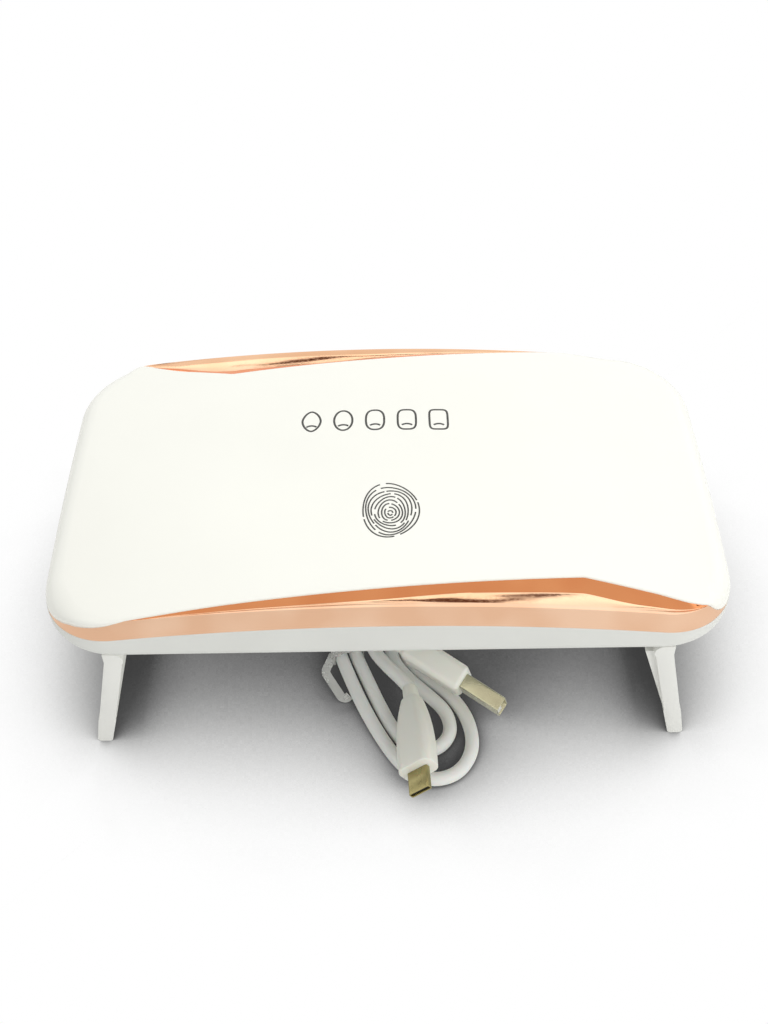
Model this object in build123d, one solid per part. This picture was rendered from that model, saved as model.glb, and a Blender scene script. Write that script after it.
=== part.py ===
from build123d import *
import math
import os

# A small folding-leg lamp for curing nail gel: a flat rounded housing with metallised front and rear
# trims, lamps in its underside, two U-shaped legs that fold under it, and its loose charging cable.
# Millimetres, +Z up. The origin is the centre of the footprint, on the table. -Y is the front.

# ---- driving dimensions ----
WIDTH = 190.0
DEPTH = 108.0
CORNER_R = 21.0
SIDE_BOW = 0.8
UNDERSIDE_Z = 42.0
LOWER_EDGE_R = 3.5
COVER_EDGE_R = 4.5
WALL = 2.0

SPLIT_Z_MID = 55.0
SPLIT_Z_END = 47.5
RIDGE_Z_MID = 60.7
RIDGE_Z_END = 52.5
RIDGE_INSET = 1.9
FACET_DROP = 5.2
TOP_Z_MID = 63.2
TOP_RISE_X = 8.2
TOP_RISE_Y = 2.2

# Panel edge over the front trim: from the left corner up to the peak and down to the right corner.
TRIM_END = (91.0, -44.9)
TRIM_CORNER = (84.6, -48.6)
TRIM_SHOULDER = (-74.0, -52.1)
TRIM_PEAK = (52.4, -41.7)

LEG_PIVOT_X = 75.2
LEG_PIVOT_Z = 39.0
LEG_SPLAY = 12.7
LEG_TOP_T = 5.0
LEG_FOOT_T = 4.6
LEG_FRONT_Y = 52.2
LEG_ARM_W = 5.0
LEG_BAR_H = 11.0
LEG_TOP_GAP = 0.3
LEG_RIB_T = 2.6
LEG_RIB_Y = 1.5
LEG_STOP_REACH = 2.0
FOOT_STEP = 0.5
PIN_R = 1.2
PIN_GAP = 0.05
ARM_SKIN = 1.6
BRACKET_T = 3.4
BRACKET_HALF_X = 3.0
BRACKET_GAP = 0.3
TANG_HALF_X = 2.2
TANG_T = 2.0
TANG_HEAD_H = 1.2
POCKET_GAP = 0.3
POCKET_REACH = 17.5
POCKET_WALL = 1.0

LED_COLUMNS = (-50.0, -30.0, -10.0, 10.0, 30.0, 50.0)
LED_ROWS = (-24.0, 0.0, 24.0)
LED_BOARD_Z = 49.0
LED_BOARD_T = 1.6
LENS_R = 2.8
LENS_LOW_Z = 45.5
LENS_DOME_R = 2.2
EMITTER = 3.5
EMITTER_T = 0.8
TRAY_X = 58.0
TRAY_Y = 32.0
TRAY_DRAFT = 3.0
TRAY_ROOF_Z = 47.2
TRAY_T = 1.0

MAIN_BOARD_Z = 52.4
MAIN_BOARD_T = 1.6
MAIN_BOARD_X = 28.0
MAIN_BOARD_FRONT = -30.0
MAIN_BOARD_REAR = 51.3
SOCKET_W = 7.6
SOCKET_H = 2.9
SOCKET_L = 5.6
SOCKET_BORE_L = 4.6
TOUCH_X = 1.0
TOUCH_Y = -19.5
PAD_R = 8.0
PAD_Z = 59.4
PAD_T = 0.4
SPRING_R = 3.0
SPRING_TURNS = 4
WIRE_R = 0.35

HOUSING_SCREWS = [(x, y) for x in (-84.0, 84.0) for y in (-24.0, 24.0)]
LED_SCREWS = [(x, y) for x in (-63.5, 63.5) for y in (-36.5, 36.5)]
MAIN_SCREWS = [(x, y) for x in (-24.0, 24.0) for y in (-26.0, 42.0)]

CABLE_D = 4.0
MICRO_LEAD = slice(0, 4)
INNER_LOOP = slice(15, 26)
OUTER_LOOP = slice(38, 50)
USB_LEAD = slice(-3, None)
HANK_FRONT_Y = -20.0
HANK_H = 8.2
HANK_EDGE_R = 1.6

MICRO_REAR = (6.6, -45.5, 8.6)
MICRO_FRONT = (7.8, -70.2, 10.4)
MICRO_ROLL = 38.0
MICRO_SHELL = (6.85, 1.85, 7.2)
USB_FRONT = (22.2, -42.0, 12.0)
USB_DIRECTION = (0.815, -0.559, -0.157)
USB_LEAN = (-0.131, -0.44, 0.888)
USB_SHELL = (13.0, 4.5, 12.0)
USB_OVERMOLD = (20.0, 8.0, 15.2)
SHELL_T = 0.3
TIE_W = 2.6
TIE_T = 0.5
TIE_TOP_Z = 4.9

os.makedirs("parts", exist_ok=True)


def save(name, shape):
    """Write one node, as one solid or as a group of separate solids."""
    solids = shape.solids()
    export_step(solids[0] if len(solids) == 1 else Compound(children=list(solids)), f"parts/{name}.step")


def half_turn(shape):
    """The same shape turned half a turn about the vertical axis."""
    return Rot(0, 0, 180) * shape


def arch_z(z_mid, z_end, x):
    """Height at x of the circular arch through z_mid at the middle and z_end at both ends."""
    half = WIDTH / 2
    rise = z_mid - z_end
    radius = (half * half + rise * rise) / (2 * rise)
    return z_mid - radius + math.sqrt(radius * radius - x * x)


def outline(inset=0.0):
    """Plan of the housing: straight front and back, slightly bowed ends, round corners."""
    half_w = WIDTH / 2 - inset
    half_d = DEPTH / 2 - inset
    end_x = half_w - SIDE_BOW
    with BuildSketch() as sketch:
        with BuildLine():
            Line((-end_x, -half_d), (end_x, -half_d))
            ThreePointArc((end_x, -half_d), (half_w, 0), (end_x, half_d))
            Line((end_x, half_d), (-end_x, half_d))
            ThreePointArc((-end_x, half_d), (-half_w, 0), (-end_x, -half_d))
        make_face()
        fillet(sketch.vertices(), CORNER_R - inset)
    return sketch.sketch


def prism(inset, low, high):
    """The plan outline, raised from one height to another."""
    return extrude(Pos(0, 0, low) * outline(inset), high - low)


def under_arch(z_mid, z_end, low=20.0):
    """Everything under an arch that runs from end to end of the housing."""
    reach = WIDTH / 2 + 10
    edge_z = arch_z(z_mid, z_end, reach)
    with BuildSketch(Plane.XZ) as sketch:
        with BuildLine():
            Polyline((-reach, edge_z), (-reach, low), (reach, low), (reach, edge_z))
            ThreePointArc((reach, edge_z), (0, z_mid), (-reach, edge_z))
        make_face()
    return extrude(sketch.sketch, DEPTH, both=True)


def under_top(drop=0.0):
    """Everything under the doubly crowned top surface, or under one that is lower by drop."""
    half = WIDTH / 2
    sweep_r = (half * half + TOP_RISE_X**2) / (2 * TOP_RISE_X)
    centre_z = TOP_Z_MID - sweep_r
    reach = DEPTH / 2 + 6
    edge_z = TOP_Z_MID - drop - TOP_RISE_Y * (reach / (DEPTH / 2)) ** 2
    with BuildSketch(Plane.YZ) as sketch:
        with BuildLine():
            Polyline((-reach, edge_z), (-reach, 30.0), (reach, 30.0), (reach, edge_z))
            ThreePointArc((reach, edge_z), (0, TOP_Z_MID - drop), (-reach, edge_z))
        make_face()
    axis = Axis((0, 0, centre_z), (0, 1, 0))
    return revolve(sketch.sketch.rotate(axis, -12), axis, 24)


def trim_region():
    """Plan region of the front trim, from the panel edge outwards."""
    far = WIDTH / 2 + 20
    end_x, end_y = TRIM_END
    corner_x, corner_y = TRIM_CORNER
    points = [(-far, end_y), (-end_x, end_y), (-corner_x, corner_y), TRIM_SHOULDER, TRIM_PEAK]
    points += [(corner_x, corner_y), (end_x, end_y), (far, end_y), (far, -far), (-far, -far)]
    return extrude(make_face(Polyline(*points, close=True).edges()), 100)


def boss(x, y, radius, low, high):
    """A round pillar between two heights."""
    return Pos(x, y, low) * Cylinder(radius, high - low, align=(Align.CENTER, Align.CENTER, Align.MIN))


def block(low, high):
    """A box between two opposite corners."""
    size = [high[i] - low[i] for i in range(3)]
    centre = [(high[i] + low[i]) / 2 for i in range(3)]
    return Pos(*centre) * Box(*size)


def bar(section, y_from, y_to):
    """A side view carried along Y from one plane to another."""
    return Pos(0, y_to, 0) * extrude(section, y_to - y_from)


def screw(x, y, seat_z, length, shank_r=1.0, head_r=1.9, head_h=1.2):
    """A pan-head screw driven upwards from seat_z, with a cross recess in its head."""
    body = boss(x, y, head_r, seat_z - head_h, seat_z) + boss(x, y, shank_r, seat_z, seat_z + length)
    slot = block((-0.25, -head_r * 0.6, -1), (0.25, head_r * 0.6, 0.6))
    recess = Pos(x, y, seat_z - head_h) * (slot + Rot(0, 0, 90) * slot)
    return body - recess


# ---- housing: base shell, top cover and the two trims ----
split_block = under_arch(SPLIT_Z_MID, SPLIT_Z_END)
trim_cut = trim_region()
rear_cut = half_turn(trim_cut)

base_outer = prism(0, UNDERSIDE_Z, 70)
base_outer = fillet(base_outer.edges().group_by(Axis.Z)[0], LOWER_EDGE_R) & split_block
base_inner = prism(WALL, UNDERSIDE_Z + WALL, 70)
base_shell = base_outer - base_inner
base_shell -= block((-TRAY_X, -TRAY_Y, 40), (TRAY_X, TRAY_Y, 46))

for x, y in HOUSING_SCREWS:
    base_shell += boss(x, y, 3.2, UNDERSIDE_Z + 1, 46.0)
    base_shell -= boss(x, y, 2.4, UNDERSIDE_Z - 1, 44.4)
    base_shell -= boss(x, y, 1.2, UNDERSIDE_Z, 47.0)
for x, y in LED_SCREWS:
    base_shell += boss(x, y, 2.4, UNDERSIDE_Z + 1, LED_BOARD_Z)
    base_shell -= boss(x, y, 0.8, UNDERSIDE_Z + 2, LED_BOARD_Z + 1)

socket_mid_z = MAIN_BOARD_Z - SOCKET_H / 2
socket_window = block((-4.4, 50, socket_mid_z - 1.9), (4.4, 56, socket_mid_z + 1.9))
base_shell -= socket_window


bracket_y = LEG_FRONT_Y - LEG_ARM_W - BRACKET_GAP
hinge_places = [(side, end) for side in (-1, 1) for end in (-1, 1)]


def hinge_bracket(side, end):
    """A hinge bracket: its plate and pin bore under the base, its tang staked over inside the base."""
    inner_y = bracket_y - BRACKET_T
    floor_low = UNDERSIDE_Z - LEG_PIVOT_Z
    shape = block((-BRACKET_HALF_X, inner_y, 0), (BRACKET_HALF_X, bracket_y, floor_low))
    shape += Pos(0, bracket_y - BRACKET_T / 2, 0) * Rot(90, 0, 0) * Cylinder(BRACKET_HALF_X, BRACKET_T)
    shape += block((-TANG_HALF_X, inner_y, floor_low), (TANG_HALF_X, inner_y + TANG_T, floor_low + WALL))
    shape += block((-BRACKET_HALF_X, inner_y - BRACKET_GAP, floor_low + WALL),
                   (BRACKET_HALF_X, inner_y + TANG_T, floor_low + WALL + TANG_HEAD_H))
    shape -= Pos(0, bracket_y - BRACKET_T / 2, 0) * Rot(90, 0, 0) * Cylinder(PIN_R, BRACKET_T + 2)
    if end < 0:
        shape = mirror(shape, Plane.XZ)
    return Pos(side * LEG_PIVOT_X, 0, LEG_PIVOT_Z) * shape


def rib_pocket(grow):
    """Room over the right leg's front hinge for that arm's rib as the leg folds, or its wall if grown."""
    swing_r = math.hypot(LEG_TOP_T / 2 + LEG_RIB_T, 1.0) + POCKET_GAP + grow
    low = UNDERSIDE_Z - LEG_PIVOT_Z - (1.0 if grow == 0 else 0.0)
    far_z = UNDERSIDE_Z - LEG_PIVOT_Z + POCKET_GAP + grow
    near_x = 0.8 + grow
    far_x = -POCKET_REACH - grow
    side_view = Polyline((near_x, low), (near_x, swing_r), (-1.2, swing_r), (far_x, far_z), (far_x, low), close=True)
    y_out = LEG_FRONT_Y - LEG_RIB_Y + POCKET_GAP + grow
    y_in = bracket_y - grow
    return Pos(LEG_PIVOT_X, 0, LEG_PIVOT_Z) * bar(Plane.XZ * make_face(side_view.edges()), -y_out, -y_in)


pocket_wall = rib_pocket(POCKET_WALL)
pocket = rib_pocket(0)
base_shell = base_shell + pocket_wall + half_turn(pocket_wall) - pocket - half_turn(pocket)
brackets = [hinge_bracket(side, end) for side, end in hinge_places]
for side, end in hinge_places:
    x = side * LEG_PIVOT_X
    low_y, high_y = sorted((end * (bracket_y - BRACKET_T), end * (bracket_y - BRACKET_T + TANG_T)))
    base_shell -= block((x - TANG_HALF_X, low_y, UNDERSIDE_Z - 1), (x + TANG_HALF_X, high_y, UNDERSIDE_Z + WALL))
save("base_shell", base_shell)
save("hinge_brackets", Compound(children=brackets))

cover_outer = (prism(0, 40, 75) & under_top()) - split_block
top_edges = cover_outer.faces().sort_by(Axis.Z)[-1].edges()
cover_outer = fillet(top_edges, COVER_EDGE_R)
cover_inner = prism(WALL, 40, 75) & under_top(WALL)
top_cover = cover_outer - cover_inner - trim_cut - rear_cut
for x, y in HOUSING_SCREWS:
    pillar = boss(x, y, 2.8, 46.2, 70) & under_top(WALL / 2)
    top_cover += pillar
    top_cover -= boss(x, y, 1.0, 46, 52.4)
for x, y in MAIN_SCREWS:
    pillar = boss(x, y, 2.2, MAIN_BOARD_Z + MAIN_BOARD_T, 70) & under_top(WALL / 2)
    top_cover += pillar
    top_cover -= boss(x, y, 0.8, 50, 58.5)
save("top_cover", top_cover)


def trim_block(inset, drop):
    """The trim's body before it is cut to plan: a ridge that slopes out to the split line."""
    shape = prism(inset, 40, 75) & under_arch(RIDGE_Z_MID - drop, RIDGE_Z_END - drop)
    edges = shape.faces().sort_by(Axis.Z)[-1].edges()
    return chamfer(edges, FACET_DROP, RIDGE_INSET, reference=shape.faces().sort_by(Axis.Z)[-1])


trim_outer = trim_block(0, 0) - split_block
trim_inner = trim_block(WALL, WALL)
front_trim = (trim_outer - trim_inner) & trim_cut
save("front_trim", front_trim)
save("rear_trim", half_turn(front_trim))

save("housing_screws", Compound(children=[screw(x, y, 44.4, 7.0, 0.95, 2.0) for x, y in HOUSING_SCREWS]))

# ---- lamp tray: reflector, board, emitters and lenses ----
led_places = [(x, y) for x in LED_COLUMNS for y in LED_ROWS]
floor_z = UNDERSIDE_Z + WALL

tray_outer = loft([Pos(0, 0, floor_z) * Rectangle(2 * TRAY_X, 2 * TRAY_Y),
                   Pos(0, 0, TRAY_ROOF_Z) * Rectangle(2 * (TRAY_X - TRAY_DRAFT), 2 * (TRAY_Y - TRAY_DRAFT))])
tray_inner = loft([Pos(0, 0, floor_z - 0.01) * Rectangle(2 * (TRAY_X - TRAY_T), 2 * (TRAY_Y - TRAY_T)),
                   Pos(0, 0, TRAY_ROOF_Z - TRAY_T)
                   * Rectangle(2 * (TRAY_X - TRAY_T - TRAY_DRAFT), 2 * (TRAY_Y - TRAY_T - TRAY_DRAFT))])
flange = block((-TRAY_X - 2.4, -TRAY_Y - 2.4, floor_z), (TRAY_X + 2.4, TRAY_Y + 2.4, floor_z + TRAY_T))
reflector = tray_outer + flange - tray_inner
for x, y in led_places:
    reflector -= boss(x, y, LENS_R + 0.3, 40, 50)
save("reflector", reflector)

led_board = block((-66, -39.5, LED_BOARD_Z), (66, 39.5, LED_BOARD_Z + LED_BOARD_T))
for x, y in LED_SCREWS:
    led_board -= boss(x, y, 1.1, 40, 60)
save("led_board", led_board)

emitter = Pos(0, 0, LED_BOARD_Z - EMITTER_T / 2) * Box(EMITTER, EMITTER, EMITTER_T)
save("led_emitters", Compound(children=[Pos(x, y, 0) * emitter for x, y in led_places]))

lens = boss(0, 0, LENS_R, LENS_LOW_Z, LED_BOARD_Z)
lens = fillet(lens.edges().group_by(Axis.Z)[0], LENS_DOME_R)
lens -= Pos(0, 0, LED_BOARD_Z - EMITTER_T / 2) * Box(EMITTER + 0.2, EMITTER + 0.2, EMITTER_T + 0.1)
save("led_lenses", Compound(children=[Pos(x, y, 0) * lens for x, y in led_places]))

led_board_top = LED_BOARD_Z + LED_BOARD_T
led_screws = [Pos(0, 0, 2 * led_board_top) * mirror(screw(x, y, led_board_top, 4.0, 0.75, 1.6, 1.0), Plane.XY)
              for x, y in LED_SCREWS]
save("led_board_screws", Compound(children=led_screws))

# ---- control board and what it carries ----
board_top = MAIN_BOARD_Z + MAIN_BOARD_T
control_board = block((-MAIN_BOARD_X, MAIN_BOARD_FRONT, MAIN_BOARD_Z), (MAIN_BOARD_X, MAIN_BOARD_REAR, board_top))
for x, y in MAIN_SCREWS:
    control_board -= boss(x, y, 1.0, 40, 60)
save("control_board", control_board)
main_screws = [screw(x, y, MAIN_BOARD_Z, 4.5, 0.75, 1.6, 0.9) for x, y in MAIN_SCREWS]
save("control_board_screws", Compound(children=main_screws))

save("board_header", block((-5.2, -27.5, led_board_top), (5.2, -25.0, MAIN_BOARD_Z)))

socket_front = DEPTH / 2 - 0.4
socket_body = block((-SOCKET_W / 2, socket_front - SOCKET_L, MAIN_BOARD_Z - SOCKET_H),
                    (SOCKET_W / 2, socket_front, MAIN_BOARD_Z))
socket_body -= block((-3.45, socket_front - SOCKET_BORE_L, socket_mid_z - 0.95),
                     (3.45, socket_front + 1, socket_mid_z + 0.95))
save("micro_usb_socket", socket_body)
save("socket_tongue", block((-2.3, socket_front - SOCKET_BORE_L, socket_mid_z - 0.1),
                            (2.3, socket_front - 0.9, socket_mid_z + 0.5)))

save("controller_chip", block((-5.0, 8.0, board_top), (0.0, 14.0, board_top + 1.5)))
save("boost_inductor", boss(12.0, 24.0, 5.0, board_top, board_top + 4.0))
capacitors = [boss(x, 36.0, 2.5, board_top, board_top + 4.6) for x in (-14.0, -7.0)]
save("filter_capacitors", Compound(children=capacitors))
mosfets = [block((x, -2.0, board_top), (x + 5.0, 2.0, board_top + 1.5)) for x in (-16.0, -8.0, 8.0)]
save("power_transistors", Compound(children=mosfets))

save("touch_pad", boss(TOUCH_X, TOUCH_Y, PAD_R, PAD_Z, PAD_Z + PAD_T))
spring_low = board_top + WIRE_R
spring_rise = PAD_Z - WIRE_R - spring_low
coil = Helix(spring_rise / SPRING_TURNS, spring_rise, SPRING_R)
coil_section = Plane(origin=coil @ 0, z_dir=coil % 0) * Circle(WIRE_R)
save("touch_spring", Pos(TOUCH_X, TOUCH_Y, spring_low) * sweep(coil_section, coil))

# ---- legs and their hinge pins ----
splay = math.tan(math.radians(LEG_SPLAY))


def leg_section(top_z, low_z, top_t, low_t):
    """Side view of a tapering bar that leans outwards as it goes down, from one height to another."""
    top_x = (LEG_PIVOT_Z - top_z) * splay
    low_x = (LEG_PIVOT_Z - low_z) * splay
    points = [(top_x - top_t / 2, top_z), (top_x + top_t / 2, top_z)]
    points += [(low_x + low_t / 2, low_z), (low_x - low_t / 2, low_z)]
    return Pos(LEG_PIVOT_X, 0, 0) * Plane.XZ * make_face(Polyline(*points, close=True).edges())


def leg_arm(y_from, y_to, ribbed):
    """One arm with its hinge barrel, its stop shoulder and, on one arm of each leg, its rib."""
    arm = bar(leg_section(LEG_PIVOT_Z, 4.0, LEG_TOP_T, LEG_FOOT_T), y_from, y_to)
    barrel_r = UNDERSIDE_Z - LEG_TOP_GAP - LEG_PIVOT_Z
    middle = Pos(LEG_PIVOT_X, (y_from + y_to) / 2, LEG_PIVOT_Z)
    arm += middle * Rot(90, 0, 0) * Cylinder(barrel_r, y_to - y_from)
    arm += block((LEG_PIVOT_X, y_from, LEG_PIVOT_Z - LEG_STOP_REACH),
                 (LEG_PIVOT_X + barrel_r, y_to, LEG_PIVOT_Z + barrel_r))
    if ribbed:
        top_z = LEG_PIVOT_Z - 1.0
        low_z = LEG_BAR_H - 1.0
        top_x = LEG_PIVOT_X + (LEG_PIVOT_Z - top_z) * splay
        low_x = LEG_PIVOT_X + (LEG_PIVOT_Z - low_z) * splay
        points = [(top_x, top_z), (top_x - LEG_TOP_T / 2 - LEG_RIB_T, top_z)]
        points += [(low_x - LEG_FOOT_T / 2, low_z), (low_x, low_z)]
        arm += bar(Plane.XZ * make_face(Polyline(*points, close=True).edges()), y_from + LEG_RIB_Y, y_to)
    return arm


def leg():
    """The right leg: two arms and a foot bar, moulded in one."""
    inner_y = LEG_FRONT_Y - LEG_ARM_W
    shape = leg_arm(-LEG_FRONT_Y, -inner_y, True) + leg_arm(inner_y, LEG_FRONT_Y, False)
    foot = bar(leg_section(LEG_BAR_H, 0.0, LEG_FOOT_T + FOOT_STEP, LEG_FOOT_T - 0.2), -LEG_FRONT_Y, LEG_FRONT_Y)
    foot = fillet(foot.edges().filter_by(Axis.Y).group_by(Axis.Z)[0], 1.1)
    shape += foot
    for end in (-1, 1):
        bore_l = LEG_ARM_W - ARM_SKIN
        bore_y = end * (LEG_FRONT_Y - ARM_SKIN - bore_l / 2)
        bore = Rot(90, 0, 0) * Cylinder(PIN_R + PIN_GAP, bore_l)
        shape -= Pos(LEG_PIVOT_X, bore_y, LEG_PIVOT_Z) * bore
    return shape


right_leg = leg()
save("right_leg", right_leg)
save("left_leg", half_turn(right_leg))


def hinge_pins():
    """The right leg's two pins, pressed into the brackets and turning in the arms."""
    y_in = bracket_y - BRACKET_T
    y_out = LEG_FRONT_Y - ARM_SKIN - 0.2
    pins = []
    for end in (-1, 1):
        middle = Pos(LEG_PIVOT_X, end * (y_in + y_out) / 2, LEG_PIVOT_Z)
        pins.append(middle * Rot(90, 0, 0) * Cylinder(PIN_R, y_out - y_in))
    return Compound(children=pins)


right_pins = hinge_pins()
save("right_hinge_pins", right_pins)
save("left_hinge_pins", half_turn(right_pins))

# ---- charging cable: its route, from the micro plug to the large plug ----
cable_route = [
    (6.0, -40.6, 8.0), (3.4, -36.6, 7.4), (-0.8, -31.0, 6.3), (-5.2, -23.2, 4.6),
    (-8.4, -10.0, 2.5), (-11.2, 5.0, 2.05), (-13.2, 20.0, 2.05), (-13.2, 34.0, 2.05),
    (-8.8, 44.8, 2.05), (0.6, 48.0, 2.05), (7.6, 41.0, 2.05), (8.2, 28.0, 2.05),
    (6.2, 12.0, 2.05), (3.0, -2.0, 2.05), (0.2, -14.0, 2.05),
    (0.8, -25.4, 2.05), (5.4, -32.6, 2.05), (11.6, -39.0, 2.05), (17.0, -45.2, 2.05),
    (18.2, -52.8, 2.05), (13.6, -58.6, 2.05), (6.4, -58.6, 2.05), (1.2, -51.8, 2.05),
    (-2.8, -43.0, 2.05), (-6.8, -32.6, 2.05), (-10.6, -22.6, 2.05),
    (-14.0, -8.0, 2.05), (-16.6, 7.0, 2.05), (-17.8, 22.0, 2.05), (-17.6, 36.0, 2.05),
    (-13.6, 48.6, 2.05), (-4.0, 54.8, 2.05), (7.0, 52.0, 2.05), (12.6, 41.0, 2.05),
    (12.2, 26.0, 2.05), (10.4, 11.0, 2.05), (7.4, -2.0, 2.05), (4.6, -13.5, 2.05),
    (4.7, -24.4, 2.05), (10.0, -31.6, 2.05), (18.0, -38.6, 2.05), (23.4, -48.0, 2.05),
    (24.4, -58.4, 2.05), (19.6, -66.6, 2.05), (11.2, -68.8, 2.05), (3.8, -64.2, 2.05),
    (-2.0, -55.2, 2.05), (-7.8, -43.2, 2.05), (-12.2, -31.6, 2.05),
    (-15.6, -21.6, 2.05), (-19.0, -7.0, 2.05), (-21.4, 7.0, 2.05), (-22.4, 20.0, 2.7),
    (-20.8, 32.0, 5.9), (-14.6, 42.6, 6.1), (-4.8, 43.4, 6.1), (0.4, 34.0, 6.1),
    (0.2, 20.0, 6.1), (-2.8, 6.0, 6.1), (-6.4, -6.0, 7.4), (-6.8, -15.6, 11.4), (-3.3, -22.6, 14.4),
]


def bend_radii(points):
    """The largest arc at each corner: 0.45 of the shorter run over the tangent of half the turn."""
    radii = []
    for before, at, after in zip(points, points[1:], points[2:]):
        run_in = Vector(*at) - Vector(*before)
        run_out = Vector(*after) - Vector(*at)
        turn = math.radians(run_in.get_angle(run_out))
        radii.append(0.45 * min(run_in.length, run_out.length) / math.tan(turn / 2))
    return radii


def cable_tube(name, points):
    """A round tube along straight runs joined by tangent arcs."""
    radii = bend_radii(points)
    path = FilletPolyline(*points, radius=radii)
    tube = sweep(Plane(origin=path @ 0, z_dir=path % 0) * Circle(CABLE_D / 2), path)
    expected = math.pi * CABLE_D**2 / 4 * path.length
    print(name, "radii", [round(r, 1) for r in radii], "length", round(path.length, 1),
          "volume ratio", round(tube.volume / expected, 4))
    save(name, tube)


cable_tube("cable_micro_lead", cable_route[MICRO_LEAD])
cable_tube("cable_inner_loop", cable_route[INNER_LOOP])
cable_tube("cable_outer_loop", cable_route[OUTER_LOOP])
cable_tube("cable_usb_lead", cable_route[USB_LEAD])
full_path = FilletPolyline(*cable_route, radius=bend_radii(cable_route))
print("cable length", round(full_path.length, 1), "least radius", round(min(bend_radii(cable_route)), 1))

# ---- the put-away middle of the cable, as one closed solid round its strands ----
hank_plan = [(-19.6, HANK_FRONT_Y), (-25.0, 8.0), (-25.0, 36.0), (-16.0, 53.0), (-4.0, 57.6)]
hank_plan += [(9.0, 54.6), (15.6, 42.0), (14.6, 20.0), (7.6, HANK_FRONT_Y)]
hank = extrude(make_face(Polyline(*hank_plan, close=True).edges()), HANK_H)
hank = fillet(hank.edges().group_by(Axis.Z)[-1], HANK_EDGE_R)
save("cable_hank", hank)

# ---- micro plug, from its strain relief to its mouth ----
micro_axis = Vector(*MICRO_FRONT) - Vector(*MICRO_REAR)
roll = math.radians(MICRO_ROLL)
micro_broad = Vector(math.cos(roll), 0, math.sin(roll))


def micro_plane(distance):
    """Plane across the micro plug, this far in front of its overmould's rear face."""
    origin = Vector(*MICRO_REAR) + micro_axis.normalized() * distance
    return Plane(origin=origin, x_dir=micro_broad, z_dir=micro_axis.normalized())


micro_l = micro_axis.length
micro_sections = [(0.0, 6.0, 5.2, 2.0), (5.0, 8.6, 6.4, 2.4), (12.0, 10.8, 7.2, 2.8), (micro_l, 11.0, 7.2, 2.6)]
faces = [micro_plane(d) * RectangleRounded(w, t, r) for d, w, t, r in micro_sections]
save("micro_usb_overmold", loft(faces))

relief_path = Vector(*cable_route[0]) - Vector(*MICRO_REAR)
relief_start = Plane(origin=MICRO_REAR, z_dir=relief_path)
relief_end = Plane(origin=cable_route[0], z_dir=relief_path)
micro_relief = loft([relief_start * Circle(2.5), relief_end * Circle(CABLE_D / 2 + 0.2)])
save("micro_usb_strain_relief", micro_relief - extrude(micro_plane(0) * Rectangle(20, 20), 10))

shell_w, shell_t, shell_l = MICRO_SHELL
shell_plane = micro_plane(micro_l)
micro_shell = extrude(shell_plane * RectangleRounded(shell_w, shell_t, 0.5), shell_l)
micro_shell -= extrude(shell_plane * RectangleRounded(shell_w - 2 * SHELL_T, shell_t - 2 * SHELL_T, 0.3), shell_l + 1)
save("micro_usb_shell", micro_shell)
micro_core = extrude(shell_plane * Rectangle(shell_w - 1.0, 0.9), shell_l - 0.6)
save("micro_usb_core", micro_core)

# ---- large plug, leaning on the strands ----
usb_forward = Vector(*USB_DIRECTION).normalized()
usb_up = Vector(*USB_LEAN)
usb_plane = Plane(origin=USB_FRONT, x_dir=usb_up.cross(usb_forward), z_dir=usb_forward)
length, thick, width = USB_OVERMOLD
usb_overmold = extrude(usb_plane * RectangleRounded(thick, width, 2.0), -length)
save("usb_a_overmold", usb_overmold)

relief_root = Vector(*USB_FRONT) - usb_forward * length
relief_tip = Vector(*cable_route[-1])
relief_axis = relief_tip - relief_root
usb_relief = loft([Plane(origin=relief_root, z_dir=relief_axis) * Circle(3.2),
                   Plane(origin=relief_tip, z_dir=relief_axis) * Circle(CABLE_D / 2 + 0.2)])
usb_relief -= extrude(usb_plane.offset(-length) * Rectangle(30, 30), 10)
save("usb_a_strain_relief", usb_relief)

usb_l, usb_t, usb_w = USB_SHELL
usb_shell = extrude(usb_plane * RectangleRounded(usb_t, usb_w, 0.5), usb_l)
usb_shell -= extrude(usb_plane * RectangleRounded(usb_t - 2 * SHELL_T, usb_w - 2 * SHELL_T, 0.3), usb_l + 1)
save("usb_a_shell", usb_shell)
tongue_plane = usb_plane * Pos(-0.85, 0, 0)
usb_tongue = extrude(tongue_plane * Rectangle(1.9, usb_w - 0.8), usb_l - 0.6)
save("usb_a_tongue", usb_tongue)
contacts = [extrude(usb_plane * Pos(0.2, y, 0) * Rectangle(0.2, 1.0), usb_l - 2.0) for y in (-3.5, -1.0, 1.0, 3.5)]
save("usb_a_contacts", Compound(children=contacts))

# ---- twist tie: a ring round the two left strands under the lamp, and its folded free end ----
tie_ring = block((-4.95, -TIE_W / 2, 0.05), (4.95, TIE_W / 2, TIE_TOP_Z))
tie_ring -= block((-4.35, -TIE_W, -1), (4.35, TIE_W, TIE_TOP_Z - 0.6))
tie_ring = Pos(-12.7, -23.3, 0) * Rot(0, 0, 18.8) * tie_ring
tie_path = FilletPolyline((-17.0, -24.2, 3.0), (-19.5, -30.8, 3.0), (-13.6, -41.0, 2.2), (-12.1, -38.7, 1.6),
                          radius=[3.0, 1.4])
tie_tail = sweep(Plane(origin=tie_path @ 0, x_dir=(0, 0, 1), z_dir=tie_path % 0) * Rectangle(TIE_T, TIE_W), tie_path)
save("cable_tie", tie_ring + tie_tail)
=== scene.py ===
import math

import bmesh
import bpy
import numpy as np
from mathutils import Matrix, Vector


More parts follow.
